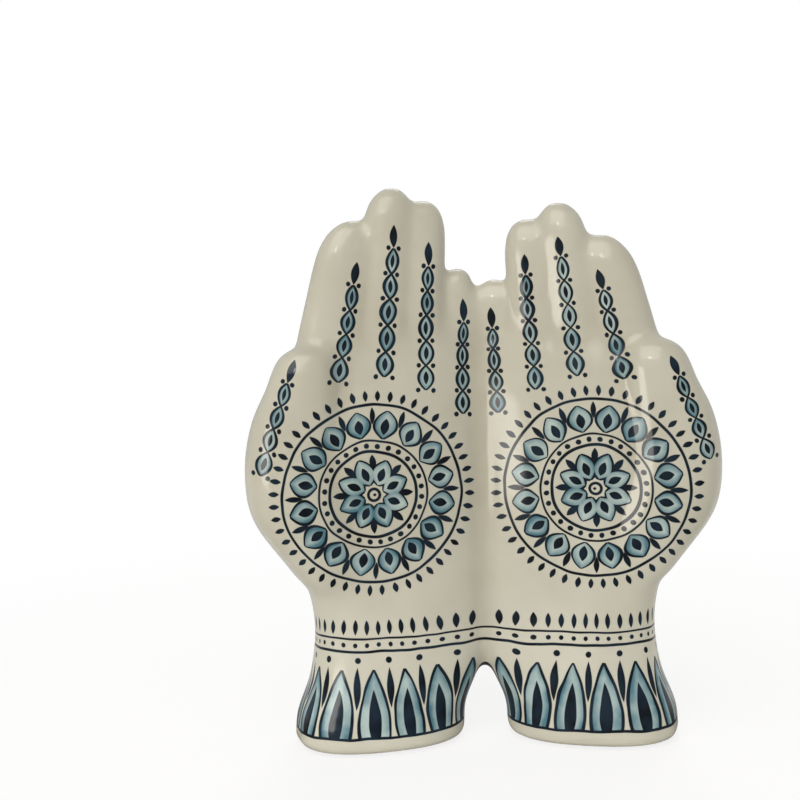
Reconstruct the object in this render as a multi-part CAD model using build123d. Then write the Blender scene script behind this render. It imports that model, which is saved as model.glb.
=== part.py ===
from build123d import *

import os
from math import copysign, cos, radians, sin, tau
from typing import NamedTuple

# A pair of slip-cast ceramic hands that stand on their wrists, palms to the front, little fingers together.
# They are mirror images of each other, except that the left hand's fingers are longer.
# Millimetres. +Z is up, the palms face -Y and the right hand is on +X. The origin is under the middle of
# the sculpture, on the surface that it stands on.
#
# Each hand is a hollow casting made of lofted limbs: a palm that runs down into the wrist, four fingers and
# a thumb. It is drawn flat, with X measured outwards from the plane where the two hands meet. It is then
# turned about that plane's edge, so that the thumbs come forward, and trimmed back for the slip between them.

# The clay and how the castings are put together
WALL = 4.5  # cast thickness of the clay
SEAM = 4.0  # slip between the two hands
PALM_TURN = 12.0  # degrees that each palm turns in towards the other
FLOOR = 6.0  # thickness of the foot and of the plate that closes it
FOOT_RIM = 14.0  # width of the foot's ring around the plate
FOOT_ROUND = 3.5  # radius of the foot's outer edge
LUTING_GAP = 0.2  # slip line around each base plate
VENT_RADIUS = 3.0  # hole that lets the kiln's steam out of each hand

# The felt pads under each foot, in the middle of the ring's flat underside
PAD_RADIUS = 3.0
PAD_THICKNESS = 1.0
PAD_ANGLES = {"front": 270.0, "outer": 45.0, "inner": 135.0}  # degrees around the foot, from the outer end

# The palm and wrist, from the foot up. An inner edge below zero laps over the plane where the hands meet.
FOOT_INNER = 12.5
FOOT_OUTER = 86.2
FOOT_DEPTH = 52.0
ARCH_HEIGHT = 21.0  # half way up the gap between the wrists
ARCH_INNER = 7.2
ARCH_OUTER = 80.6
ARCH_DEPTH = 46.0
CROTCH_HEIGHT = 32.0  # where the two wrists part
CROTCH_INNER = 1.25
CROTCH_OUTER = 76.6
CROTCH_DEPTH = 43.5
WRIST_HEIGHT = 56.0
WRIST_INNER = -5.5
WRIST_OUTER = 75.0
WRIST_DEPTH = 40.0
HEEL_HEIGHT = 84.0
HEEL_INNER = -6.5
HEEL_OUTER = 82.8
HEEL_DEPTH = 40.0
PALM_HEIGHT = 114.0
PALM_INNER = -6.5
PALM_OUTER = 96.0
PALM_DEPTH = 39.0
KNUCKLE_HEIGHT = 146.0
KNUCKLE_INNER = -6.5
KNUCKLE_OUTER = 90.0
KNUCKLE_DEPTH = 33.0
WEB_HEIGHT = 190.0  # top of the flesh between the fingers
WEB_INNER = -3.0
WEB_OUTER = 62.0
WEB_DEPTH = 12.0

# The fingers, each a straight tapered rod with a domed tip
ROOT_HEIGHT = 128.0  # the fingers start inside the palm
TIP_SHARE = 0.74  # width of a finger where its dome starts, as a share of its root
DOME_SHARE = 1.5  # height of a fingertip's dome, as a share of its half width there


class Finger(NamedTuple):
    tip_height: float  # on the right hand
    left_tip_height: float
    tip_x: float
    root_x: float
    width: float
    depth: float


LITTLE = Finger(tip_height=198.5, left_tip_height=203.5, tip_x=8.0, root_x=10.0, width=23.5, depth=22.0)
RING = Finger(tip_height=223.5, left_tip_height=232.5, tip_x=22.5, root_x=28.5, width=27.0, depth=24.0)
MIDDLE = Finger(tip_height=230.0, left_tip_height=238.0, tip_x=36.0, root_x=47.0, width=30.0, depth=25.0)
INDEX = Finger(tip_height=216.0, left_tip_height=224.5, tip_x=53.0, root_x=72.0, width=37.0, depth=24.0)
RIGHT_FINGERS = [LITTLE, RING, MIDDLE, INDEX]
LEFT_FINGERS = [shape._replace(tip_height=shape.left_tip_height) for shape in RIGHT_FINGERS]


class Slice(NamedTuple):
    height: float
    inner: float
    outer: float
    depth: float
    forward: float = 0.0


# The thumb, laid along the side of the palm and a little in front of it
THUMB = [
    Slice(height=62.0, inner=46.0, outer=73.0, depth=26.0, forward=1.0),
    Slice(height=80.0, inner=48.0, outer=87.0, depth=34.0, forward=3.0),
    Slice(height=100.0, inner=56.0, outer=100.0, depth=35.0, forward=5.0),
    Slice(height=120.0, inner=62.0, outer=102.8, depth=31.0, forward=6.0),
    Slice(height=140.0, inner=62.0, outer=99.5, depth=27.0, forward=6.5),
    Slice(height=154.0, inner=62.0, outer=93.0, depth=24.0, forward=6.5),
]
THUMB_TIP_HEIGHT = 173.0
THUMB_TIP_X = 74.0

# How the limbs are lofted
SQUARENESS = 2.4  # exponent of the sections' rounded outline, where 2 is an ellipse
OUTLINE_POINTS = 16
SECTION_STEP = 9.0  # height between the sections of a limb
DOME_STEPS = (30.0, 60.0)  # degrees up each dome where it gets a section


def eased(heights, values, height):
    """The value at a height on a smooth curve through the given values, a cubic between each two of them."""
    last = len(heights) - 1
    above = next(i for i in range(1, last + 1) if heights[i] >= height or i == last)
    below = above - 1

    def slope(i):
        left = max(i - 1, 0)
        right = min(i + 1, last)
        return (values[right] - values[left]) / (heights[right] - heights[left])

    span = heights[above] - heights[below]
    t = (height - heights[below]) / span
    start = slope(below) * span
    end = slope(above) * span
    rise = values[above] - values[below]
    return values[below] + t * start + t**2 * (3 * rise - 2 * start - end) + t**3 * (start + end - 2 * rise)


def slice_at(slices, height):
    """The section of a limb at any height."""
    heights, *columns = zip(*slices)
    return Slice(height, *(eased(heights, column, height) for column in columns))


def squared(wave):
    """A sine or cosine pushed outwards, which turns an ellipse into a fuller oval."""
    return copysign(abs(wave) ** (2 / SQUARENESS), wave)


def oval(piece, inset, share=1.0):
    """A level section of a limb, drawn in by the inset and then to a share of its size."""
    centre = ((piece.inner + piece.outer) / 2, -piece.forward, piece.height)
    half_width = ((piece.outer - piece.inner) / 2 - inset) * share
    half_depth = (piece.depth / 2 - inset) * share
    angles = [tau * i / OUTLINE_POINTS for i in range(OUTLINE_POINTS)]
    points = [(half_width * squared(cos(a)), half_depth * squared(sin(a))) for a in angles]
    return Plane(centre) * make_face(Spline(points, periodic=True))


def limb(slices, inset, tip=None):
    """A loft up the slices in even steps. A tip, given as its X and height, closes it with a dome."""
    first = slices[0].height
    last = slices[-1]
    steps = round((last.height - first) / SECTION_STEP)
    heights = [first + (last.height - first) * i / steps for i in range(steps + 1)]
    sections = [oval(slice_at(slices, height), inset) for height in heights]
    if tip:
        tip_x, tip_height = tip
        rise = tip_height - inset - last.height
        drift = tip_x - (last.inner + last.outer) / 2
        for angle in DOME_STEPS:
            up = sin(radians(angle))
            moved = last._replace(
                height=last.height + rise * up,
                inner=last.inner + drift * up,
                outer=last.outer + drift * up,
            )
            sections.append(oval(moved, inset, cos(radians(angle))))
        sections.append(Vertex(tip_x, -last.forward, last.height + rise))
    return loft(sections)


def finger(shape, inset):
    """A straight finger that leans from its root to its tip and narrows on the way."""
    half_width = shape.width / 2
    shoulder = shape.tip_height - half_width * TIP_SHARE * DOME_SHARE
    slices = []
    for height, share in ((ROOT_HEIGHT, 1.0), (shoulder, TIP_SHARE)):
        lean = (height - ROOT_HEIGHT) / (shape.tip_height - ROOT_HEIGHT)
        x = shape.root_x + (shape.tip_x - shape.root_x) * lean
        slices.append(Slice(height, x - half_width * share, x + half_width * share, shape.depth * share))
    return limb(slices, inset, (shape.tip_x, shape.tip_height))


def digits(fingers, inset):
    """The thumb and the four fingers."""
    thumb = limb(THUMB, inset, (THUMB_TIP_X, THUMB_TIP_HEIGHT))
    return [thumb] + [finger(shape, inset) for shape in fingers]


def palm_slices():
    return [
        Slice(PAD_THICKNESS, FOOT_INNER, FOOT_OUTER, FOOT_DEPTH),
        Slice(ARCH_HEIGHT, ARCH_INNER, ARCH_OUTER, ARCH_DEPTH),
        Slice(CROTCH_HEIGHT, CROTCH_INNER, CROTCH_OUTER, CROTCH_DEPTH),
        Slice(WRIST_HEIGHT, WRIST_INNER, WRIST_OUTER, WRIST_DEPTH),
        Slice(HEEL_HEIGHT, HEEL_INNER, HEEL_OUTER, HEEL_DEPTH),
        Slice(PALM_HEIGHT, PALM_INNER, PALM_OUTER, PALM_DEPTH),
        Slice(KNUCKLE_HEIGHT, KNUCKLE_INNER, KNUCKLE_OUTER, KNUCKLE_DEPTH),
        Slice(WEB_HEIGHT, WEB_INNER, WEB_OUTER, WEB_DEPTH),
    ]


def beyond(shape, x=None, z=None):
    """The part of a shape that lies further out than x, or higher than z."""
    plane = Plane.YZ.offset(x) if x is not None else Plane.XY.offset(z)
    return split(shape, plane, Keep.TOP)


def turned(shape):
    return Rot(0, 0, -PALM_TURN) * shape


def foot_outline(inset):
    """The foot's outline on its underside, drawn in by the inset."""
    return oval(palm_slices()[0], inset)


def base_opening(inset=0.0):
    return extrude(foot_outline(FOOT_RIM + inset), FLOOR)


def hand(fingers):
    """The hollow casting of a right hand with the given fingers, open at its foot."""
    slices = palm_slices()
    palm = limb(slices, 0.0)
    palm = fillet(palm.edges().group_by(Axis.Z)[0], FOOT_ROUND)
    outside = turned(palm + digits(fingers, 0.0))
    inside = limb(slices[:-1], WALL) + digits(fingers, WALL)
    inside = turned(beyond(inside, z=PAD_THICKNESS + FLOOR))
    clay = beyond(outside, x=SEAM / 2) - beyond(inside, x=SEAM / 2 + WALL)
    return clay - turned(base_opening())


def slip_seam(right_hand):
    """The layer of slip that joins the hands, as wide and as high as the right hand's flat side."""
    side = right_hand.faces().filter_by(Axis.X).sort_by(Axis.X)[0]
    return extrude(side, SEAM, dir=(-1, 0, 0))


def base_plate():
    plate = base_opening(LUTING_GAP)
    vent = Pos((FOOT_INNER + FOOT_OUTER) / 2, 0, PAD_THICKNESS) * extrude(Circle(VENT_RADIUS), FLOOR)
    return turned(plate - vent)


def pad(angle):
    """A felt pad that stands on the ground, at an angle around the foot."""
    inset = (FOOT_ROUND + FOOT_RIM) / 2
    x = (FOOT_INNER + FOOT_OUTER) / 2 + ((FOOT_OUTER - FOOT_INNER) / 2 - inset) * squared(cos(radians(angle)))
    y = (FOOT_DEPTH / 2 - inset) * squared(sin(radians(angle)))
    return turned(Pos(x, y) * extrude(Circle(PAD_RADIUS), PAD_THICKNESS))


def main():
    right_hand = hand(RIGHT_FINGERS)
    pieces = {"right_base_plate": base_plate()}
    for place, angle in PAD_ANGLES.items():
        pieces[f"right_{place}_pad"] = pad(angle)
    for name, piece in list(pieces.items()):
        pieces[name.replace("right", "left")] = mirror(piece, about=Plane.YZ)
    pieces["right_hand"] = right_hand
    pieces["left_hand"] = mirror(hand(LEFT_FINGERS), about=Plane.YZ)
    pieces["slip_seam"] = slip_seam(right_hand)

    to_middle = Pos(0, -right_hand.bounding_box().center().Y)
    os.makedirs("parts", exist_ok=True)
    for name, piece in pieces.items():
        export_step(to_middle * piece, f"parts/{name}.step")


main()
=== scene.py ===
"""Dresses a pair of slip-cast ceramic hands: a glazed and painted skin, bare base plates and felt pads."""

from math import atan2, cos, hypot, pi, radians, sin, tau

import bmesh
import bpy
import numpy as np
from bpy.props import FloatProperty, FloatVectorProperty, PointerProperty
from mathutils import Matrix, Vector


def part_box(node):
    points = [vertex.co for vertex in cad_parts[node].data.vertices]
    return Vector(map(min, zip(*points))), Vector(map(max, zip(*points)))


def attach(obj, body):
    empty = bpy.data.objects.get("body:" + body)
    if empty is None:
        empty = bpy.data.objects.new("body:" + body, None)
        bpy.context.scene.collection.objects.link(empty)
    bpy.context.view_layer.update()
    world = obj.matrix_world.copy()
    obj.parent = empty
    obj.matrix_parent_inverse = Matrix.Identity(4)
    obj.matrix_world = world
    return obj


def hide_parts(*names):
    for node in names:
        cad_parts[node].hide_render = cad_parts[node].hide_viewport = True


bl_info = {
    "name": "Ceramic hand sculpture",
    "version": (1, 0, 0),
    "blender": (4, 5, 0),
    "location": "3D View > Sidebar > Sculpture",
    "description": "Builds the glazed skin, base plates, felt pads and stage of a ceramic hand sculpture",
    "category": "Object",
}

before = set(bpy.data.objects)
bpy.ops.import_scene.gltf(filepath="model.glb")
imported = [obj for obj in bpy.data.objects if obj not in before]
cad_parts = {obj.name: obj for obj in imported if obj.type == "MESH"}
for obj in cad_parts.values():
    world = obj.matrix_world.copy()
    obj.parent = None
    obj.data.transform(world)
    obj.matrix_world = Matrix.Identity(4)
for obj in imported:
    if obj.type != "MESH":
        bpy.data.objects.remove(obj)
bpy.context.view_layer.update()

MM = 0.001
PICTURE = 800  # pixels along each side of the picture
SENSOR = 36.0  # width of the camera's sensor in millimetres
MIDDLE_HEIGHT = 115 * MM  # of the point that the camera and most lamps face
FOOT_LEVEL = 0.0
SIDES = ("left", "right")
PADS = ("front", "outer", "inner")
SEAM_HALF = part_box("slip_seam")[1].x
FOOT_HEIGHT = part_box("right_hand")[0].z
WRIST_MIDDLE = sum(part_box("right_base_plate"), Vector()) / 2


def linear(hex_colour):
    """Turns an sRGB hex colour such as #D6CFBB into the linear values that shaders take."""
    values = [int(hex_colour[i : i + 2], 16) / 255 for i in (1, 3, 5)]
    return tuple(v / 12.92 if v <= 0.04045 else ((v + 0.055) / 1.055) ** 2.4 for v in values)


class CastingSettings(bpy.types.PropertyGroup):
    """How the skin of the casting is made."""

    step: FloatProperty(
        name="Mesh step", description="Spacing of the skin's vertices", default=1.0 * MM, unit="LENGTH"
    )
    softness: FloatProperty(
        name="Softness", description="Reach of the smoothing that clay and glaze give each groove",
        default=4.0 * MM, unit="LENGTH",
    )
    hollow_height: FloatProperty(
        name="Hollow height", description="Height of the hollow that shows through the vents",
        default=40.0 * MM, unit="LENGTH",
    )
    luting_gap: FloatProperty(
        name="Luting gap", description="Slip line around each base plate", default=0.2 * MM, unit="LENGTH"
    )


class GlazeSettings(bpy.types.PropertyGroup):
    """Colours of the clay, the glaze and the painting under it."""

    ivory: FloatVectorProperty(
        name="Ivory", description="Glaze over the clay", default=linear("#C6C3B3"), size=3, subtype="COLOR"
    )
    pooled: FloatVectorProperty(
        name="Pooled", description="Glaze where it gathers in a groove", default=linear("#ADA895"), size=3,
        subtype="COLOR",
    )
    navy: FloatVectorProperty(
        name="Navy", description="Brush lines", default=linear("#0B121A"), size=3, subtype="COLOR"
    )
    teal: FloatVectorProperty(
        name="Teal", description="Deep end of a wash", default=linear("#4B7480"), size=3, subtype="COLOR"
    )
    pale_teal: FloatVectorProperty(
        name="Pale teal", description="Thin end of a wash", default=linear("#BFCCC5"), size=3, subtype="COLOR"
    )
    clay: FloatVectorProperty(
        name="Clay", description="Bare fired clay", default=linear("#C9B99C"), size=3, subtype="COLOR"
    )
    felt: FloatVectorProperty(
        name="Felt", description="Wool felt of the pads", default=linear("#CFC8B8"), size=3, subtype="COLOR"
    )


class StageSettings(bpy.types.PropertyGroup):
    """Where the camera stands, and the colour of the floor."""

    azimuth: FloatProperty(
        name="Azimuth", description="Camera's turn about the sculpture, to the right when positive",
        default=radians(-4.23), subtype="ANGLE",
    )
    elevation: FloatProperty(
        name="Elevation", description="Camera's height above the horizon", default=radians(8.15),
        subtype="ANGLE",
    )
    roll: FloatProperty(name="Roll", description="Camera's tilt", default=radians(-1.02), subtype="ANGLE")
    distance: FloatProperty(
        name="Distance", description="From the camera to the middle of the sculpture", default=0.49145,
        unit="LENGTH",
    )
    focal_pixels: FloatProperty(
        name="Focal length", description="Focal length in pixels of the picture", default=1137.3
    )
    target_x: FloatProperty(
        name="Target across", description="Pixel column of the sculpture's middle", default=480.9
    )
    target_y: FloatProperty(
        name="Target down", description="Pixel row of the sculpture's middle", default=473.2
    )
    floor: FloatVectorProperty(
        name="Floor", description="Colour of the floor", default=linear("#F4F3F0"), size=3, subtype="COLOR"
    )


SETTINGS = {"casting": CastingSettings, "glaze": GlazeSettings, "stage": StageSettings}


def settings(name):
    """One of the scene's groups of settings."""
    return getattr(bpy.context.scene, f"sculpture_{name}")


def link(name, mesh):
    """Puts a mesh into the scene as an object at the origin."""
    made = bpy.data.objects.new(name, mesh)
    bpy.context.scene.collection.objects.link(made)
    return made


def evaluated(obj):
    """A copy of an object's mesh with its modifiers applied."""
    return bpy.data.meshes.new_from_object(obj.evaluated_get(bpy.context.evaluated_depsgraph_get()))


def points_of(mesh):
    """A mesh's points as an array of rows."""
    points = np.empty(len(mesh.vertices) * 3, np.float32)
    mesh.vertices.foreach_get("co", points)
    return points.reshape(-1, 3).astype(float)


# Shader nodes

MATH = "ShaderNodeMath"
VECTOR = "ShaderNodeVectorMath"
MAP = "ShaderNodeMapRange"
MIX = "ShaderNodeMix"
NOISE = "ShaderNodeTexNoise"
GROUP = "ShaderNodeGroup"


def add(tree, kind, *inputs, named=None, **chosen):
    """Adds one node with its settings, and gives its first output in use.

    An input is a value or a socket to link. They fill the sockets in use in order, None leaves one alone, and
    named gives others by name.
    """
    made = tree.nodes.new(kind)
    for name, value in chosen.items():
        setattr(made, name, value)
    in_use = [socket for socket in made.inputs if socket.enabled]
    wanted = list(zip(in_use, inputs)) + [(made.inputs[name], value) for name, value in (named or {}).items()]
    for socket, value in wanted:
        if isinstance(value, bpy.types.NodeSocket):
            tree.links.new(value, socket)
        elif value is not None:
            socket.default_value = value
    return next((socket for socket in made.outputs if socket.enabled), None)


def new_group(name, inputs, outputs):
    """An empty node group of float sockets, apart from inputs that start with Point, which are vectors."""
    tree = bpy.data.node_groups.new(name, "ShaderNodeTree")
    for label in inputs:
        kind = "NodeSocketVector" if label.startswith("Point") else "NodeSocketFloat"
        tree.interface.new_socket(label, in_out="INPUT", socket_type=kind)
    for label in outputs:
        tree.interface.new_socket(label, in_out="OUTPUT", socket_type="NodeSocketFloat")
    given = tree.nodes.new("NodeGroupInput")
    result = tree.nodes.new("NodeGroupOutput")
    return tree, given.outputs, result.inputs


def largest(tree, sockets):
    """The largest of several masks."""
    joined = sockets[0]
    for socket in sockets[1:]:
        joined = add(tree, MATH, joined, socket, operation="MAXIMUM")
    return joined


# The painting, in millimetres on the right hand, alike on its front and back. The left hand has its mirror
# image.
MEDALLION = (46.0, 110.0)  # middle of the palm's rosette, across and up
# Rings of petals in the rosette: count, phase, inner and outer radius, half width, and whether a petal is
# outlined and washed or solid
ROSETTE_PETALS = (
    (8, 0.0, 3.8, 15.2, 4.3, True),
    (8, 0.0, 5.6, 11.6, 1.6, False),
    (8, 0.5, 10.2, 16.6, 1.4, False),
    (16, 0.0, 23.2, 34.6, 4.8, True),
    (16, 0.0, 24.8, 31.2, 1.8, False),
    (16, 0.5, 28.6, 36.0, 1.2, False),
    (48, 0.0, 38.2, 42.8, 1.1, False),
)
ROSETTE_BEADS = ((1, 0.0, 0.0, 1.0), (28, 0.0, 20.1, 1.1))  # count, phase, radius of the ring and of a bead
ROSETTE_LINES = ((2.3, 0.6), (17.9, 0.65), (22.3, 0.45), (37.0, 0.6))  # radius and half width
# Chains up the digits: where each starts and ends, across and up, its lenses and their half width
CHAINS = (
    ((7.5, 141.0), (6.2, 177.0), 4, 2.8),
    ((23.2, 151.0), (20.6, 199.0), 5, 3.2),
    ((40.3, 156.5), (35.0, 206.0), 5, 3.4),
    ((59.5, 155.0), (52.0, 192.0), 4, 3.4),
    ((91.6, 122.0), (79.8, 156.0), 4, 3.2),
)
CHAIN_TAPER = 0.65  # a chain's width at its end, as a share of its width at its start
CHAIN_DOT = 0.95  # radius of a dot between two lenses
DOTS_REACH = 0.55  # how far from a chain's middle dots stand, as a share of its length
SEED_SPAN = (0.22, 0.78)  # where a lens's seed starts and ends along it
SEED_SHARE = 0.36  # the seed's width as a share of the lens's
DROP_LENGTH = 9.0  # the solid drop that ends a chain
DROP_HALF_WIDTH = 1.7
FINGER_ROOT = 140.0  # the left hand's painting is drawn out above here, as its fingers are
CUFF_REACH = 30.6  # radius of a circle as long as the way round a wrist
CUFF_DEPTH_SHARE = 0.7  # a wrist's depth as a share of its width
# Rings round a wrist, with heights in place of radii
CUFF_PETALS = (
    (14, 0.0, -6.0, 36.0, 5.7, True),
    (14, 0.0, 2.0, 28.0, 2.4, False),
    (14, 0.5, 20.0, 37.0, 1.5, False),
    (36, 0.0, 50.4, 57.0, 1.15, False),
)
CUFF_BEADS = ((14, 0.5, 39.8, 1.35), (36, 0.0, 46.4, 1.0))
CUFF_LINES = ((8.0, 0.6), (43.6, 0.6), (49.0, 0.45))
CUFF_FOOT = 8.0  # the cuff starts here
BRUSH_LINE = 0.6  # half the width of a brush line
BRUSH_PRESSURE = (0.75, 1.3)  # the lightest and the heaviest line, as shares of that
BRUSH_WANDER = 15.0  # the brush wanders, and its pressure changes, over about this length
BRUSH_SWAY = 1.8  # noise of this size moves the brush by up to half a millimetre
WASH_PALE_DEPTH = 0.85  # how far into a wash it is palest, from its edge at 0 to its middle at 1
WASH_PALE_TONE = 0.22  # its tone there
EDGE = 0.12  # a brush mark's edge fades out this far to either side


def petal_group():
    """A brushed lens. Its half width is 4 s (1 - s) times the given one, where s runs from 0 to 1 along it.

    Depth runs from 0 at its edge to 1 in its middle.
    """
    tree, given, result = new_group(
        "petal", ("Across", "Along", "Half width", "Line"), ("Outline", "Inside", "Depth")
    )
    rest = add(tree, MATH, 1.0, given["Along"], operation="SUBTRACT")
    swell = add(tree, MATH, given["Along"], rest, operation="MULTIPLY")
    swell = add(tree, MATH, swell, 4.0, operation="MULTIPLY")
    edge = add(tree, MATH, swell, given["Half width"], operation="MULTIPLY")
    outside = add(tree, MATH, given["Across"], edge, operation="SUBTRACT")
    inside = add(tree, MAP, outside, EDGE, -EDGE, 0.0, 1.0)
    apart = add(tree, MATH, outside, operation="ABSOLUTE")
    from_line = add(tree, MATH, apart, given["Line"], operation="SUBTRACT")
    outline = add(tree, MAP, from_line, EDGE, -EDGE, 0.0, 1.0)
    present = add(tree, MATH, swell, 0.0, operation="GREATER_THAN")
    depth = add(tree, MATH, outside, given["Half width"], operation="DIVIDE")
    tree.links.new(add(tree, MATH, outline, present, operation="MULTIPLY"), result["Outline"])
    tree.links.new(add(tree, MATH, inside, present, operation="MULTIPLY"), result["Inside"])
    tree.links.new(add(tree, MAP, depth, 0.0, -1.0, 0.0, 1.0), result["Depth"])
    return tree


def bead_group():
    """A round brushed dot of a given radius, from how far a point lies across and along from its middle."""
    tree, given, result = new_group("bead", ("Across", "Along", "Radius"), ("Dot",))
    place = add(tree, "ShaderNodeCombineXYZ", given["Across"], given["Along"])
    away = add(tree, VECTOR, place, operation="LENGTH").node.outputs["Value"]
    outside = add(tree, MATH, away, given["Radius"], operation="SUBTRACT")
    tree.links.new(add(tree, MAP, outside, EDGE, -EDGE, 0.0, 1.0), result["Dot"])
    return tree


def petal_ring_group(petal):
    """Petals that stand side by side around a ring. Reach turns the angle between them into millimetres."""
    tree, given, result = new_group(
        "ring of petals",
        ("Height", "Turn", "Reach", "Count", "Phase", "Inner", "Outer", "Half width", "Line"),
        ("Outline", "Inside", "Depth"),
    )
    turns = add(tree, MATH, given["Turn"], tau, operation="DIVIDE")
    cell = add(tree, MATH, turns, given["Count"], given["Phase"], operation="MULTIPLY_ADD")
    share = add(tree, MATH, cell, operation="FRACT")
    off = add(tree, MATH, share, 0.5, operation="SUBTRACT")
    off = add(tree, MATH, off, operation="ABSOLUTE")
    width = add(tree, MATH, given["Reach"], tau, operation="MULTIPLY")
    width = add(tree, MATH, width, given["Count"], operation="DIVIDE")
    across = add(tree, MATH, off, width, operation="MULTIPLY")
    along = add(tree, MAP, given["Height"], given["Inner"], given["Outer"], 0.0, 1.0, clamp=False)
    drawn = add(tree, GROUP, across, along, given["Half width"], given["Line"], node_tree=petal).node
    for name in ("Outline", "Inside", "Depth"):
        tree.links.new(drawn.outputs[name], result[name])
    return tree


def bead_ring_group(bead):
    """Dots side by side around a ring at one height."""
    tree, given, result = new_group(
        "ring of beads", ("Height", "Turn", "Reach", "Count", "Phase", "At", "Radius"), ("Dot",)
    )
    turns = add(tree, MATH, given["Turn"], tau, operation="DIVIDE")
    cell = add(tree, MATH, turns, given["Count"], given["Phase"], operation="MULTIPLY_ADD")
    share = add(tree, MATH, cell, operation="FRACT")
    off = add(tree, MATH, share, 0.5, operation="SUBTRACT")
    width = add(tree, MATH, given["Reach"], tau, operation="MULTIPLY")
    width = add(tree, MATH, width, given["Count"], operation="DIVIDE")
    across = add(tree, MATH, off, width, operation="MULTIPLY")
    along = add(tree, MATH, given["Height"], given["At"], operation="SUBTRACT")
    tree.links.new(add(tree, GROUP, across, along, given["Radius"], node_tree=bead), result["Dot"])
    return tree


def chain_group(petal, bead):
    """A chain of lenses from Point start to Point end, narrowing on the way.

    Each has a seed in it, dots stand between them, and a solid drop ends the chain.
    """
    tree, given, result = new_group(
        "chain",
        ("Point", "Point start", "Point end", "Count", "Half width", "Line"),
        ("Line", "Wash", "Depth"),
    )
    ahead = add(tree, VECTOR, given["Point end"], given["Point start"], operation="SUBTRACT")
    here = add(tree, VECTOR, given["Point"], given["Point start"], operation="SUBTRACT")
    square = add(tree, VECTOR, ahead, ahead, operation="DOT_PRODUCT").node.outputs["Value"]
    along = add(tree, VECTOR, here, ahead, operation="DOT_PRODUCT").node.outputs["Value"]
    along = add(tree, MATH, along, square, operation="DIVIDE")
    foot = add(tree, VECTOR, ahead, named={"Scale": along}, operation="SCALE")
    aside = add(tree, VECTOR, here, foot, operation="SUBTRACT")
    across = add(tree, VECTOR, aside, operation="LENGTH").node.outputs["Value"]
    length = add(tree, MATH, square, operation="SQRT")
    period = add(tree, MATH, length, given["Count"], operation="DIVIDE")
    cell = add(tree, MATH, along, given["Count"], operation="MULTIPLY")
    share = add(tree, MATH, cell, operation="FRACT")
    taper = add(tree, MAP, along, 0.0, 1.0, 1.0, CHAIN_TAPER)
    half_width = add(tree, MATH, given["Half width"], taper, operation="MULTIPLY")
    lens = add(tree, GROUP, across, share, half_width, given["Line"], node_tree=petal).node
    in_seed = add(tree, MAP, share, *SEED_SPAN, 0.0, 1.0, clamp=False)
    seed_width = add(tree, MATH, half_width, SEED_SHARE, operation="MULTIPLY")
    seed = add(tree, GROUP, across, in_seed, seed_width, 0.0, node_tree=petal).node.outputs["Inside"]
    drawn = add(tree, MATH, lens.outputs["Outline"], seed, operation="MAXIMUM")
    started = add(tree, MATH, along, 0.0, operation="GREATER_THAN")
    ended = add(tree, MATH, along, 1.0, operation="LESS_THAN")
    present = add(tree, MATH, started, ended, operation="MULTIPLY")
    drawn = add(tree, MATH, drawn, present, operation="MULTIPLY")
    between = add(tree, MATH, cell, 0.5, operation="ADD")
    between = add(tree, MATH, between, operation="FRACT")
    between = add(tree, MATH, between, 0.5, operation="SUBTRACT")
    between = add(tree, MATH, between, period, operation="MULTIPLY")
    beside = add(tree, MATH, across, half_width, operation="SUBTRACT")
    dots = add(tree, GROUP, beside, between, CHAIN_DOT, node_tree=bead)
    from_middle = add(tree, MATH, along, 0.5, operation="SUBTRACT")
    from_middle = add(tree, MATH, from_middle, operation="ABSOLUTE")
    near = add(tree, MATH, from_middle, DOTS_REACH, operation="LESS_THAN")
    dots = add(tree, MATH, dots, near, operation="MULTIPLY")
    past = add(tree, MATH, along, 1.0, operation="SUBTRACT")
    past = add(tree, MATH, past, length, operation="MULTIPLY")
    past = add(tree, MATH, past, DROP_LENGTH, operation="DIVIDE")
    drop = add(tree, GROUP, across, past, DROP_HALF_WIDTH, 0.0, node_tree=petal).node.outputs["Inside"]
    tree.links.new(largest(tree, [drawn, dots, drop]), result["Line"])
    tree.links.new(add(tree, MATH, lens.outputs["Inside"], present, operation="MULTIPLY"), result["Wash"])
    tree.links.new(lens.outputs["Depth"], result["Depth"])
    return tree


def wash_tone(tree, inside, depth):
    """How dark a wash is: darkest along its edge, where the colour gathers as it dries."""
    tone = add(tree, MAP, depth, 0.0, WASH_PALE_DEPTH, 1.0, WASH_PALE_TONE)
    return add(tree, MATH, inside, tone, operation="MULTIPLY")


def painted_rings(tree, groups, brush, height, turn, reach, petals, beads, lines):
    """Masks of the lines and washes, and the washes' tone, for rings around a point or around a wrist."""
    drawn, washed, tones = [], [], []
    for count, phase, inner, outer, half_width, wash in petals:
        ring = add(
            tree, GROUP, height, turn, reach, float(count), phase, inner, outer, half_width,
            brush if wash else 0.0, node_tree=groups["petals"],
        ).node.outputs
        drawn.append(ring["Outline"] if wash else ring["Inside"])
        if wash:
            washed.append(ring["Inside"])
            tones.append(wash_tone(tree, ring["Inside"], ring["Depth"]))
    for count, phase, at, radius in beads:
        drawn.append(
            add(tree, GROUP, height, turn, reach, float(count), phase, at, radius, node_tree=groups["beads"])
        )
    for at, half_width in lines:
        apart = add(tree, MATH, height, at, operation="SUBTRACT")
        apart = add(tree, MATH, apart, operation="ABSOLUTE")
        drawn.append(add(tree, MAP, apart, half_width + EDGE, half_width - EDGE, 0.0, 1.0))
    return largest(tree, drawn), largest(tree, washed), largest(tree, tones)


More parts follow.
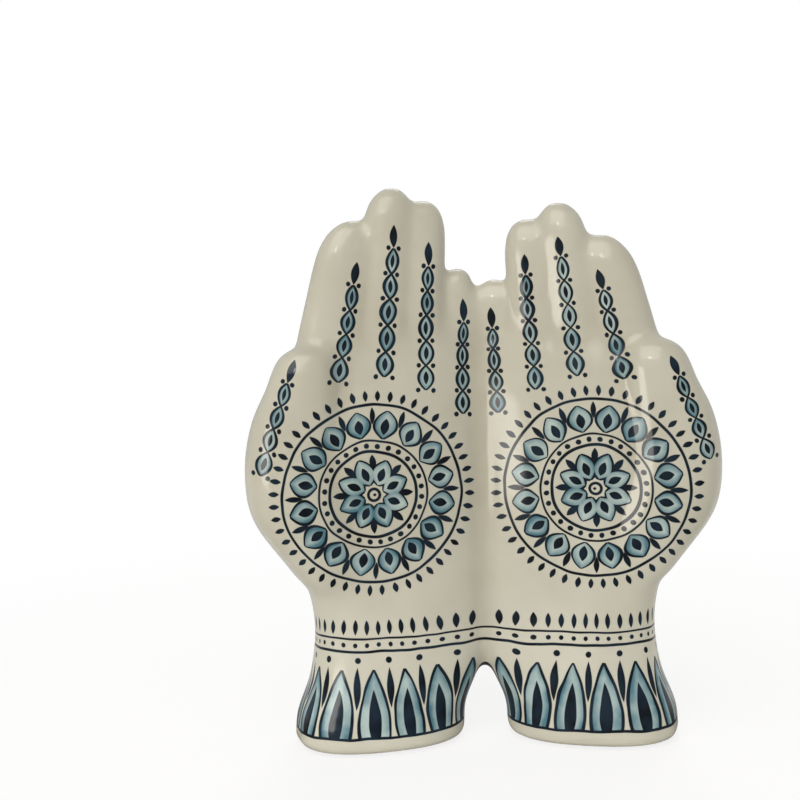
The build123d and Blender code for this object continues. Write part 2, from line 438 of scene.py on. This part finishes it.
def painting(tree):
    """The blue painting: a rosette in each palm, chains up the digits and a cuff of petals round each wrist.

    It gives masks of the lines and of the washes, and the washes' tone from pale to deep.
    """
    petal, bead = petal_group(), bead_group()
    groups = {"petals": petal_ring_group(petal), "beads": bead_ring_group(bead)}
    chain = chain_group(petal, bead)

    place = add(tree, "ShaderNodeTexCoord").node.outputs["Object"]
    wander = add(tree, NOISE, place, named={"Scale": 1 / (BRUSH_WANDER * MM), "Detail": 1.0}).node
    pressure = add(
        tree, MAP, wander.outputs["Fac"], 0.3, 0.7, *(share * BRUSH_LINE for share in BRUSH_PRESSURE)
    )
    aside = add(tree, VECTOR, wander.outputs["Color"], (0.5, 0.5, 0.5), operation="SUBTRACT")
    aside = add(tree, VECTOR, aside, named={"Scale": BRUSH_SWAY * MM}, operation="SCALE")
    place = add(tree, VECTOR, place, aside, operation="ADD")
    place = add(tree, VECTOR, place, named={"Scale": 1 / MM}, operation="SCALE")
    parts = add(tree, "ShaderNodeSeparateXYZ", place).node.outputs
    across = add(tree, MATH, parts["X"], operation="ABSOLUTE")
    height = parts["Z"]

    flat = add(tree, "ShaderNodeCombineXYZ", across, 0.0, height)
    from_middle = add(tree, VECTOR, flat, (MEDALLION[0], 0.0, MEDALLION[1]), operation="SUBTRACT")
    radius = add(tree, VECTOR, from_middle, operation="LENGTH").node.outputs["Value"]
    sides = add(tree, "ShaderNodeSeparateXYZ", from_middle).node.outputs
    turn = add(tree, MATH, sides["Z"], sides["X"], operation="ARCTAN2")
    rosette = painted_rings(
        tree, groups, pressure, radius, turn, radius, ROSETTE_PETALS, ROSETTE_BEADS, ROSETTE_LINES
    )

    out_x = add(tree, MATH, across, WRIST_MIDDLE.x / MM, operation="SUBTRACT")
    out_y = add(tree, MATH, parts["Y"], WRIST_MIDDLE.y / MM, operation="SUBTRACT")
    out_y = add(tree, MATH, out_y, CUFF_DEPTH_SHARE, operation="DIVIDE")
    around = add(tree, MATH, out_y, out_x, operation="ARCTAN2")
    cuff = painted_rings(
        tree, groups, pressure, height, around, CUFF_REACH, CUFF_PETALS, CUFF_BEADS, CUFF_LINES
    )
    above = add(tree, MATH, height, CUFF_FOOT - CUFF_LINES[0][1], operation="GREATER_THAN")
    cuff = [add(tree, MATH, mask, above, operation="MULTIPLY") for mask in cuff]
    drawn, washed, tones = ([*pair] for pair in zip(rosette, cuff))

    left_top, right_top = (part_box(f"{side}_hand")[1].z / MM for side in SIDES)
    drawn_out = (left_top - FINGER_ROOT) / (right_top - FINGER_ROOT)
    left = add(tree, MATH, parts["X"], 0.0, operation="LESS_THAN")
    stretch = add(tree, MAP, left, 0.0, 1.0, 1.0, 1 / drawn_out)
    up = add(tree, MATH, height, FINGER_ROOT, operation="SUBTRACT")
    up = add(tree, MATH, up, stretch, FINGER_ROOT, operation="MULTIPLY_ADD")
    flat = add(tree, "ShaderNodeCombineXYZ", across, 0.0, up)
    for (start_x, start_z), (end_x, end_z), count, half_width in CHAINS:
        row = add(
            tree, GROUP, flat, (start_x, 0.0, start_z), (end_x, 0.0, end_z), float(count), half_width,
            pressure, node_tree=chain,
        ).node.outputs
        drawn.append(row["Line"])
        washed.append(row["Wash"])
        tones.append(wash_tone(tree, row["Wash"], row["Depth"]))
    return largest(tree, drawn), largest(tree, washed), largest(tree, tones)


def new_material(name):
    """An empty material of nodes, and its tree."""
    made = bpy.data.materials.new(name)
    made.use_nodes = True
    made.node_tree.nodes.clear()
    return made, made.node_tree


def finish_material(tree, **sockets):
    """A Principled shader with its sockets set by name, as the material's surface."""
    named = {name.replace("_", " "): value for name, value in sockets.items()}
    shader = add(tree, "ShaderNodeBsdfPrincipled", named=named)
    add(tree, "ShaderNodeOutputMaterial", shader)


# The glaze's unevenness
CLOUD_SIZE = 30 * MM  # firing leaves the glaze cloudy in patches of about this width
GROOVE_POOLING = 0.7  # how far the glaze takes its pooled colour in the deepest groove
CLOUD_POOLING = 0.35  # and in a cloud
SPECK_SPACING = 7 * MM  # iron specks are sparse, and under half a millimetre wide
SPECK_REACH = (0.035, 0.02)  # a speck fades in between these shares of the spacing from its middle
SPECK_STRENGTH = 0.4
SPECK_COLOUR = "#8B7A5C"
STREAK_SIZE = 16 * MM  # washes are streaky, and some petals have more of the colour than others
STREAK_TONE = (0.4, 1.5)  # share of a wash's tone in the thinnest and in the deepest streak
INK_PATCH = 9 * MM  # a brush line is opaque, and bluer where it is laid thinner
THIN_INK = "#172735"
RIPPLE_SIZE = 5 * MM  # orange peel in the glaze
RIPPLE_HEIGHT = 0.06 * MM
GLAZE_ROUGHNESS = (0.3, 0.4)  # where the glaze is clear, and in a cloud
WIPED_SLOPE = (-0.75, -0.9)  # upward part of the normal, where the wiped underside starts and is bare
WIPED_HEIGHT = 1.5 * MM  # the glaze is wiped off this far up the foot


def glaze_material():
    """Ivory earthenware glaze over underglaze blue: glassy and a little uneven, darker where it pools."""
    colours = settings("glaze")
    made, tree = new_material("ivory glaze over blue painting")
    line, wash, tone = painting(tree)
    place = add(tree, "ShaderNodeTexCoord").node.outputs["Object"]
    hollow = add(tree, "ShaderNodeAttribute", attribute_name="hollow").node.outputs["Fac"]
    pooled = add(tree, MAP, hollow, 0.0, 1.0, 0.0, GROOVE_POOLING)
    cloud = add(tree, NOISE, place, named={"Scale": 1 / CLOUD_SIZE, "Detail": 3.0})
    cloud = add(tree, MAP, cloud, 0.35, 0.7, 0.0, CLOUD_POOLING)
    pooled = add(tree, MATH, pooled, cloud, operation="ADD", use_clamp=True)
    body = add(tree, MIX, pooled, (*colours.ivory, 1.0), (*colours.pooled, 1.0), data_type="RGBA")
    speck = add(tree, "ShaderNodeTexVoronoi", place, named={"Scale": 1 / SPECK_SPACING})
    speck = add(tree, MAP, speck, *SPECK_REACH, 0.0, SPECK_STRENGTH)
    body = add(tree, MIX, speck, body, (*linear(SPECK_COLOUR), 1.0), data_type="RGBA")
    streak = add(tree, NOISE, place, named={"Scale": 1 / STREAK_SIZE, "Detail": 3.0})
    streak = add(tree, MAP, streak, 0.32, 0.68, *STREAK_TONE)
    tone = add(tree, MATH, tone, streak, operation="MULTIPLY", use_clamp=True)
    tint = add(tree, MIX, tone, (*colours.pale_teal, 1.0), (*colours.teal, 1.0), data_type="RGBA")
    body = add(tree, MIX, wash, body, tint, data_type="RGBA")
    load = add(tree, NOISE, place, named={"Scale": 1 / INK_PATCH, "Detail": 1.0})
    load = add(tree, MAP, load, 0.35, 0.65, 0.0, 1.0)
    ink = add(tree, MIX, load, (*linear(THIN_INK), 1.0), (*colours.navy, 1.0), data_type="RGBA")
    body = add(tree, MIX, line, body, ink, data_type="RGBA")
    # The glaze is wiped off the underside, where the bare clay shows
    normal = add(tree, "ShaderNodeNewGeometry").node.outputs["Normal"]
    up = add(tree, "ShaderNodeSeparateXYZ", normal).node.outputs["Z"]
    under = add(tree, MAP, up, *WIPED_SLOPE, 0.0, 1.0)
    low = add(tree, "ShaderNodeSeparateXYZ", place).node.outputs["Z"]
    low = add(tree, MATH, low, FOOT_HEIGHT + WIPED_HEIGHT, operation="LESS_THAN")
    bare = add(tree, MATH, under, low, operation="MULTIPLY")
    body = add(tree, MIX, bare, body, (*colours.clay, 1.0), data_type="RGBA")
    rough = add(tree, MAP, cloud, 0.0, CLOUD_POOLING, *GLAZE_ROUGHNESS)
    rough = add(tree, MATH, rough, bare, operation="MAXIMUM")
    ripple = add(tree, NOISE, place, named={"Scale": 1 / RIPPLE_SIZE, "Detail": 1.0})
    bump = add(tree, "ShaderNodeBump", named={"Height": ripple, "Strength": 0.25, "Distance": RIPPLE_HEIGHT})
    finish_material(
        tree, Base_Color=body, Roughness=rough, Normal=bump, Specular_IOR_Level=0.1, Coat_Weight=0.85,
        Coat_Roughness=0.12,
    )
    return made


CLAY_BLOTCH = 8 * MM  # width of the marks that the sponge leaves
CLAY_BLOTCH_STRENGTH = 0.5
CLAY_BLOTCH_COLOUR = "#AF9C7C"
CLAY_GRIT = 0.6 * MM
CLAY_GRIT_HEIGHT = 0.15 * MM
CLAY_ROUGHNESS = (0.75, 0.95)  # between the grit, and on it


def clay_material():
    """Bare fired clay: matt, gritty and faintly blotched, with sponge marks."""
    colours = settings("glaze")
    made, tree = new_material("bare fired clay")
    place = add(tree, "ShaderNodeTexCoord").node.outputs["Object"]
    blotch = add(tree, NOISE, place, named={"Scale": 1 / CLAY_BLOTCH, "Detail": 4.0})
    blotch = add(tree, MAP, blotch, 0.3, 0.7, 0.0, CLAY_BLOTCH_STRENGTH)
    body = add(tree, MIX, blotch, (*colours.clay, 1.0), (*linear(CLAY_BLOTCH_COLOUR), 1.0), data_type="RGBA")
    grit = add(tree, NOISE, place, named={"Scale": 1 / CLAY_GRIT, "Detail": 2.0})
    bump = add(tree, "ShaderNodeBump", named={"Height": grit, "Strength": 0.6, "Distance": CLAY_GRIT_HEIGHT})
    rough = add(tree, MAP, grit, 0.2, 0.8, *CLAY_ROUGHNESS)
    finish_material(tree, Base_Color=body, Roughness=rough, Normal=bump)
    return made


FELT_FIBRE = 0.7 * MM  # tufts of fibre, drawn coarser than a fibre so that they show
FELT_LIGHT_COLOUR = "#DDD8CB"
FELT_NAP = 0.2 * MM  # height of the tufts


def felt_material():
    """Pressed wool felt: matted fibres, with a soft sheen at grazing angles."""
    colours = settings("glaze")
    made, tree = new_material("pressed wool felt")
    place = add(tree, "ShaderNodeTexCoord").node.outputs["Object"]
    fibre = add(tree, NOISE, place, named={"Scale": 1 / FELT_FIBRE, "Detail": 5.0, "Distortion": 1.5})
    shade = add(tree, MAP, fibre, 0.3, 0.7, 0.0, 1.0)
    body = add(tree, MIX, shade, (*colours.felt, 1.0), (*linear(FELT_LIGHT_COLOUR), 1.0), data_type="RGBA")
    bump = add(tree, "ShaderNodeBump", named={"Height": fibre, "Strength": 0.8, "Distance": FELT_NAP})
    finish_material(
        tree, Base_Color=body, Roughness=0.95, Normal=bump, Sheen_Weight=0.5, Sheen_Roughness=0.6
    )
    return made


# The casting

WELD = 0.001 * MM  # corners closer than this are one


def merged_casting():
    """The two hands and the slip between them, with a block in each foot that closes the hollow."""
    shape = bmesh.new()
    for node in ("left_hand", "right_hand", "slip_seam"):
        shape.from_mesh(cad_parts[node].data)
    for side in SIDES:
        low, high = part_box(f"{side}_base_plate")
        block = Matrix.Translation((low + high) / 2) @ Matrix.Diagonal((*(high - low), 1.0))
        bmesh.ops.create_cube(shape, size=1.0, matrix=block)
    bmesh.ops.remove_doubles(shape, verts=shape.verts, dist=WELD)
    mesh = bpy.data.meshes.new("casting")
    shape.to_mesh(mesh)
    shape.free()
    return link("casting", mesh)


def spread(points, edges, steps):
    """Moves each point half way to the middle of its neighbours, a number of times."""
    first, second = edges.T
    count = len(points)
    neighbours = np.bincount(first, minlength=count) + np.bincount(second, minlength=count)
    for _ in range(steps):
        middle = np.stack(
            [
                np.bincount(first, axis[second], count) + np.bincount(second, axis[first], count)
                for axis in points.T
            ],
            axis=1,
        )
        points = (points + middle / neighbours[:, None]) / 2
    return points


FULL_HOLLOW = 0.6 * MM  # depth of a groove in which the glaze pools fully
FOOT_BLEND = 20 * MM  # the softening grows to its full strength over this height
FOOT_SOFTNESS = 0.1  # its strength at the foot, whose edge stays crisper


def softened(mesh, step, softness):
    """Rounds the mesh over by the softness without shrinking it: twice a blur, less that blur blurred again.

    It gives the new points, and how hollow the surface is at each, from 0 to 1.
    """
    edges = np.empty(len(mesh.edges) * 2, np.int32)
    mesh.edges.foreach_get("vertices", edges)
    edges = edges.reshape(-1, 2)
    normals = np.empty(len(mesh.vertices) * 3, np.float32)
    mesh.vertex_normals.foreach_get("vector", normals)
    normals = normals.reshape(-1, 3)
    steps = round(4 * (softness / step) ** 2)  # a blur's reach grows with the square root of its steps
    start = points_of(mesh)
    once = spread(start, edges, steps)
    twice = spread(once, edges, steps)
    crisp = np.clip((start[:, 2] - FOOT_HEIGHT) / FOOT_BLEND, FOOT_SOFTNESS, 1.0)[:, None]
    points = start + crisp * (2 * once - twice - start)
    points[:, 2] = np.maximum(points[:, 2], FOOT_HEIGHT)
    depth = np.einsum("ij,ij->i", twice - once, normals)
    hollow = np.clip(depth / FULL_HOLLOW, 0, 1)
    return points, hollow


def foot_hollows(gap, top):
    """Blocks of the base plates' outline, wider by a gap, that run up to a top and are cut out of the feet.

    Each is the hull of a plate's points, moved out from its middle by the gap, and up or down to the block's
    ends.
    """
    blocks = bmesh.new()
    for side in SIDES:
        low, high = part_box(f"{side}_base_plate")
        middle = (low + high) / 2
        plate = points_of(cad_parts[f"{side}_base_plate"].data)
        rim = plate - np.array(middle)
        reach = np.hypot(rim[:, 0], rim[:, 1])[:, None]
        rim[:, :2] *= 1 + gap / reach
        rim += np.array(middle)
        rim[:, 2] = np.where(plate[:, 2] > middle.z, top, 0.0)
        mesh = bpy.data.meshes.new("foot hollow")
        mesh.from_pydata(rim, [], [])
        block = bmesh.new()
        block.from_mesh(mesh)
        made = bmesh.ops.convex_hull(block, input=block.verts)
        loose = [vert for vert in made["geom_interior"] if isinstance(vert, bmesh.types.BMVert)]
        bmesh.ops.delete(block, geom=loose, context="VERTS")
        block.to_mesh(mesh)
        block.free()
        blocks.from_mesh(mesh)
    bmesh.ops.recalc_face_normals(blocks, faces=blocks.faces)
    mesh = bpy.data.meshes.new("foot hollows")
    blocks.to_mesh(mesh)
    blocks.free()
    return link("foot_hollows", mesh)


def casting_skin():
    """One closed skin of both hands and their seam, smoothed, with hollow feet."""
    chosen = settings("casting")
    casting = merged_casting()
    remesh = casting.modifiers.new("even mesh", "REMESH")
    remesh.mode = "VOXEL"
    remesh.voxel_size = chosen.step
    skin = evaluated(casting)
    points, hollow = softened(skin, chosen.step, chosen.softness)
    skin.vertices.foreach_set("co", points.astype(np.float32).ravel())
    skin.attributes.new("hollow", "FLOAT", "POINT").data.foreach_set("value", hollow.astype(np.float32))
    casting.modifiers.clear()
    casting.data = skin
    cutter = foot_hollows(chosen.luting_gap, chosen.hollow_height)
    cut = casting.modifiers.new("hollow feet", "BOOLEAN")
    cut.operation = "DIFFERENCE"
    cut.solver = "MANIFOLD"
    cut.object = cutter
    skin = evaluated(casting)
    bpy.data.objects.remove(casting)
    bpy.data.objects.remove(cutter)
    return skin


SNAP = 1e-7  # points as close as this to a cut lie on it


def cut_skin(skin):
    """Cuts the skin along both faces of the slip seam, so that each piece can be taken from it."""
    shape = bmesh.new()
    shape.from_mesh(skin)
    for x in (-SEAM_HALF, SEAM_HALF):
        everything = [*shape.verts, *shape.edges, *shape.faces]
        bmesh.ops.bisect_plane(shape, geom=everything, plane_co=(x, 0, 0), plane_no=(1, 0, 0), dist=SNAP)
    bmesh.ops.triangulate(shape, faces=shape.faces)
    shape.to_mesh(skin)
    shape.free()


def skin_piece(skin, name, low, high):
    """The part of the skin between two planes across X, closed there, with the whole skin's shading."""
    corners = np.empty(len(skin.loops), np.int32)
    skin.loops.foreach_get("vertex_index", corners)
    corners = corners.reshape(-1, 3)
    points = points_of(skin)
    normals = np.empty(len(points) * 3, np.float32)
    skin.vertex_normals.foreach_get("vector", normals)
    normals = normals.reshape(-1, 3)
    hollow = np.empty(len(points), np.float32)
    skin.attributes["hollow"].data.foreach_get("value", hollow)
    middle = points[corners, 0].mean(axis=1)
    kept = corners[(middle > low) & (middle < high)]
    if not len(kept):
        raise RuntimeError(f"{name}: the skin has no faces here")
    used, renumbered = np.unique(kept, return_inverse=True)
    mesh = bpy.data.meshes.new(name)
    mesh.from_pydata(points[used], [], renumbered.reshape(-1, 3))
    mesh.attributes.new("hollow", "FLOAT", "POINT").data.foreach_set("value", hollow[used])
    shape = bmesh.new()
    shape.from_mesh(mesh)
    open_edges = [edge for edge in shape.edges if edge.is_boundary]
    caps = bmesh.ops.holes_fill(shape, edges=open_edges, sides=0)["faces"]
    bmesh.ops.triangulate(shape, faces=caps)
    shape.to_mesh(mesh)
    shape.free()
    mesh.shade_smooth()
    corners = np.empty(len(mesh.loops), np.int32)
    mesh.loops.foreach_get("vertex_index", corners)
    shading = normals[used][corners].reshape(-1, 3, 3)
    shading[len(kept) :] = 0.0  # the caps keep their own normals
    mesh.normals_split_custom_set(shading.reshape(-1, 3))
    return link(name, mesh)


def dress(piece, material, slot, *nodes):
    """Gives a piece its material, hangs it under the root, and hides the parts of the nodes that it takes the
    place of.
    """
    piece.data.materials.clear()
    piece.data.materials.append(material)
    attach(piece, "root")
    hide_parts(*nodes)


class SCULPTURE_OT_hands(bpy.types.Operator):
    """Builds the glazed skin of both hands and of the slip between them"""

    bl_idname = "sculpture.hands"
    bl_label = "Glazed hands"

    def execute(self, context):
        glaze = glaze_material()
        skin = casting_skin()
        cut_skin(skin)
        for node, low, high in (
            ("left_hand", -np.inf, -SEAM_HALF),
            ("slip_seam", -SEAM_HALF, SEAM_HALF),
            ("right_hand", SEAM_HALF, np.inf),
        ):
            dress(skin_piece(skin, f"glazed_{node}", low, high), glaze, "glaze", node)
        return {"FINISHED"}


class SCULPTURE_OT_base_plates(bpy.types.Operator):
    """Gives the base plates their bare fired clay"""

    bl_idname = "sculpture.base_plates"
    bl_label = "Base plates"

    def execute(self, context):
        clay = clay_material()
        for side in SIDES:
            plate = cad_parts[f"{side}_base_plate"]
            plate.data.materials.clear()
            plate.data.materials.append(clay)
        return {"FINISHED"}


PAD_TURNS = 48
PAD_RINGS = 16
PAD_RIM = 0.35  # a smaller power gives a flatter rim
PAD_FACE = 0.5  # a smaller power gives flatter faces


def felt_pad(name, node):
    """A felt disc: a profile with rounded edges, turned about the pad's axis.

    At an angle above the level, the profile is out by a power of its cosine and up by a power of its sine.
    """
    low, high = (np.array(corner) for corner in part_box(node))
    middle, half = (low + high) / 2, (high - low) / 2
    turn = np.linspace(0, tau, PAD_TURNS, endpoint=False)
    rise = np.linspace(-pi / 2, pi / 2, PAD_RINGS + 1)[1:-1]
    out = np.cos(rise) ** PAD_RIM
    up = np.sign(np.sin(rise)) * np.abs(np.sin(rise)) ** PAD_FACE
    ring = np.stack(np.broadcast_arrays(
        out[:, None] * np.cos(turn), out[:, None] * np.sin(turn), up[:, None]
    ), axis=-1).reshape(-1, 3)
    points = np.vstack([ring, [[0, 0, -1], [0, 0, 1]]]) * half + middle
    rows = np.arange(len(rise) * PAD_TURNS).reshape(len(rise), PAD_TURNS)
    ahead = np.roll(rows, -1, axis=1)
    sides = np.stack([rows[:-1], ahead[:-1], ahead[1:], rows[1:]], axis=-1).reshape(-1, 4)
    under = np.stack([ahead[0], rows[0], np.full(PAD_TURNS, len(ring))], axis=-1)
    over = np.stack([rows[-1], ahead[-1], np.full(PAD_TURNS, len(ring) + 1)], axis=-1)
    mesh = bpy.data.meshes.new(name)
    mesh.from_pydata(points, [], [*sides.tolist(), *under.tolist(), *over.tolist()])
    mesh.shade_smooth()
    return link(name, mesh)


class SCULPTURE_OT_felt_pads(bpy.types.Operator):
    """Makes the felt pads under both feet"""

    bl_idname = "sculpture.felt_pads"
    bl_label = "Felt pads"

    def execute(self, context):
        felt = felt_material()
        for side in SIDES:
            for place in PADS:
                node = f"{side}_{place}_pad"
                dress(felt_pad(f"felt_{node}", node), felt, "felt", node)
        return {"FINISHED"}


# The stage

WHITE = (1.0, 1.0, 1.0, 1.0)
BACKDROP_GLOW = 0.4  # how much of the white behind the sculpture the glaze mirrors
FLOOR_HALF = 3.0
FLOOR_BEHIND = (0.0, 0.1)  # the floor turns from in front of the sculpture to behind it between these places
FLOOR_SHADOW_REACH = (0.1, 0.5)  # the shadow fades out between these distances
FLOOR_WHITE = 0.8  # share of plain white in the floor close to the sculpture, where the rest shows its shadow
FLOOR_DIM = "#5A5650"  # the floor in front, as the glaze mirrors it
ROOM_BEHIND = (-0.1, 0.3)  # the room turns from in front to behind between these parts of a ray's direction
ROOM_LIGHT = 0.32  # strength of the room's light on the sculpture
ROOM_DIM = 0.12  # and of the room in front, as the glaze mirrors it


def seen_and_dim(tree, behind):
    """Whether a ray sees plain white, and whether it sees the dim room.

    The camera sees white, and the glaze mirrors as much of it as behind says, and the dim room for the rest.
    """
    path = add(tree, "ShaderNodeLightPath").node.outputs
    mirrored = add(
        tree, MATH, path["Is Glossy Ray"], path["Is Transmission Ray"], operation="ADD", use_clamp=True
    )
    seen = add(
        tree, MATH, mirrored, behind, path["Is Camera Ray"], operation="MULTIPLY_ADD", use_clamp=True
    )
    return seen, add(tree, MATH, mirrored, seen, operation="SUBTRACT", use_clamp=True)


def floor_material():
    """Matt white card. Seen directly it is mostly plain white, wholly so away from the sculpture.

    Behind the sculpture the glaze mirrors that white. In front of it the glaze mirrors a dim room.
    """
    made, tree = new_material("white card floor")
    place = add(tree, "ShaderNodeTexCoord").node.outputs["Object"]
    behind = add(tree, "ShaderNodeSeparateXYZ", place).node.outputs["Y"]
    behind = add(tree, MAP, behind, *FLOOR_BEHIND, 0.0, BACKDROP_GLOW)
    seen, dim = seen_and_dim(tree, behind)
    card = add(tree, MIX, dim, (*settings("stage").floor, 1.0), (*linear(FLOOR_DIM), 1.0), data_type="RGBA")
    card = add(tree, "ShaderNodeBsdfDiffuse", card)
    plain = add(tree, "ShaderNodeEmission", WHITE, 1.0)
    away = add(tree, VECTOR, place, operation="LENGTH").node.outputs["Value"]
    fade = add(tree, MAP, away, *FLOOR_SHADOW_REACH, FLOOR_WHITE, 1.0)
    share = add(tree, MATH, seen, fade, operation="MULTIPLY")
    add(tree, "ShaderNodeOutputMaterial", add(tree, "ShaderNodeMixShader", share, card, plain))
    return made


def white_room():
    """The world: white where the camera sees it, and otherwise the soft light of a room."""
    made = bpy.data.worlds.new("white room")
    made.use_nodes = True
    tree = made.node_tree
    tree.nodes.clear()
    heading = add(tree, "ShaderNodeTexCoord").node.outputs["Generated"]
    behind = add(tree, "ShaderNodeSeparateXYZ", heading).node.outputs["Y"]
    behind = add(tree, MAP, behind, *ROOM_BEHIND, 0.0, BACKDROP_GLOW)
    seen, dim = seen_and_dim(tree, behind)
    strength = add(tree, MAP, seen, 0.0, 1.0, ROOM_LIGHT, 1.0)
    strength = add(tree, MATH, dim, ROOM_DIM - ROOM_LIGHT, strength, operation="MULTIPLY_ADD")
    add(tree, "ShaderNodeOutputWorld", add(tree, "ShaderNodeBackground", WHITE, strength))
    return made


# The lamps: name, place, height that they face, width and height, spread in degrees, watts, colour, and
# whether the glaze mirrors them
LAMPS = (
    ("top softbox", (-0.25, -0.6, 1.0), MIDDLE_HEIGHT, (0.9, 0.9), 180, 6.0, "#FFFAF2", True),
    ("window", (-0.75, -0.8, 0.06), MIDDLE_HEIGHT, (0.4, 0.7), 180, 4.2, "#FFFAF2", True),
    ("fill softbox", (0.9, -0.9, 0.4), MIDDLE_HEIGHT, (0.8, 0.8), 180, 1.0, "#F6F8FF", False),
    ("low softbox", (-0.08, -0.24, 0.035), FOOT_LEVEL, (0.5, 0.05), 60, 0.065, "#F4F7FF", False),
    ("rear softbox", (0.3, 1.3, 0.9), MIDDLE_HEIGHT, (1.0, 1.0), 180, 10.0, "#FFFFFF", False),
    ("side window", (1.1, 0.35, 0.3), MIDDLE_HEIGHT, (0.3, 0.6), 180, 2.0, "#FFFAF2", False),
    ("sparkle", (-0.3, -1.0, 0.8), MIDDLE_HEIGHT, (0.08, 0.12), 180, 0.35, "#FFFFFF", True),
    ("rear window", (0.1, 0.9, 1.2), MIDDLE_HEIGHT, (0.5, 0.3), 180, 1.2, "#FFFFFF", True),
)


def soft_light(name, place, faced, size, spread, power, colour, mirrored):
    """A rectangular softbox that faces a height on the sculpture's axis, and that the glaze may mirror."""
    light = bpy.data.lights.new(name, "AREA")
    light.shape = "RECTANGLE"
    light.size, light.size_y = size
    light.spread = radians(spread)
    light.energy = power
    light.color = linear(colour)
    lamp = bpy.data.objects.new(name, light)
    bpy.context.scene.collection.objects.link(lamp)
    lamp.location = place
    lamp.visible_glossy = mirrored
    lamp.visible_camera = False
    lamp.rotation_euler = (Vector((0, 0, faced)) - lamp.location).to_track_quat("-Z", "Y").to_euler()


def place_camera():
    """Stands the camera on its arc round the sculpture, then turns it until the middle lands on its pixel."""
    stage = settings("stage")
    camera = bpy.data.cameras.new("camera")
    camera.sensor_width = SENSOR
    camera.lens = SENSOR * stage.focal_pixels / PICTURE
    eye = bpy.data.objects.new("camera", camera)
    bpy.context.scene.collection.objects.link(eye)
    back = Vector((
        sin(stage.azimuth) * cos(stage.elevation),
        -cos(stage.azimuth) * cos(stage.elevation),
        sin(stage.elevation),
    ))
    eye.location = Vector((0, 0, MIDDLE_HEIGHT)) + back * stage.distance
    aside = stage.target_x - PICTURE / 2
    below = stage.target_y - PICTURE / 2
    yaw = atan2(aside, stage.focal_pixels)
    pitch = atan2(below, hypot(stage.focal_pixels, aside))
    aim = (-back).to_track_quat("-Z", "Y").to_matrix()
    aim = aim @ Matrix.Rotation(stage.roll, 3, "Z")
    aim = aim @ Matrix.Rotation(yaw, 3, "Y") @ Matrix.Rotation(pitch, 3, "X")
    eye.rotation_euler = aim.to_euler()
    bpy.context.scene.camera = eye


class SCULPTURE_OT_stage(bpy.types.Operator):
    """Sets up the floor, the lights and the camera"""

    bl_idname = "sculpture.stage"
    bl_label = "Stage"

    def execute(self, context):
        corners = [(x * FLOOR_HALF, y * FLOOR_HALF, 0) for x, y in ((-1, -1), (1, -1), (1, 1), (-1, 1))]
        mesh = bpy.data.meshes.new("floor")
        mesh.from_pydata(corners, [], [(0, 1, 2, 3)])
        mesh.materials.append(floor_material())
        link("floor", mesh)
        for lamp in LAMPS:
            soft_light(*lamp)
        context.scene.world = white_room()
        context.scene.view_settings.view_transform = "Standard"
        place_camera()
        return {"FINISHED"}


OPERATORS = (SCULPTURE_OT_hands, SCULPTURE_OT_base_plates, SCULPTURE_OT_felt_pads, SCULPTURE_OT_stage)


class SCULPTURE_PT_sidebar(bpy.types.Panel):
    """Lists the sculpture's settings and the steps that build it"""

    bl_idname = "SCULPTURE_PT_sidebar"
    bl_label = "Ceramic hands"
    bl_space_type = "VIEW_3D"
    bl_region_type = "UI"
    bl_category = "Sculpture"

    def draw(self, context):
        for name, group in SETTINGS.items():
            box = self.layout.box()
            box.label(text=name.capitalize())
            for label in group.__annotations__:
                box.prop(settings(name), label)
        for step in OPERATORS:
            self.layout.operator(step.bl_idname)


CLASSES = (*SETTINGS.values(), *OPERATORS, SCULPTURE_PT_sidebar)


def register():
    """Registers the classes, and gives each scene the settings."""
    for item in CLASSES:
        bpy.utils.register_class(item)
    for name, group in SETTINGS.items():
        setattr(bpy.types.Scene, f"sculpture_{name}", PointerProperty(type=group))


def unregister():
    """Takes the settings and the classes away again."""
    for name in SETTINGS:
        delattr(bpy.types.Scene, f"sculpture_{name}")
    for item in reversed(CLASSES):
        bpy.utils.unregister_class(item)


def main():
    """Builds the sculpture and its stage."""
    register()
    bpy.ops.sculpture.hands()
    bpy.ops.sculpture.base_plates()
    bpy.ops.sculpture.felt_pads()
    bpy.ops.sculpture.stage()


if __name__ == "__main__":
    main()
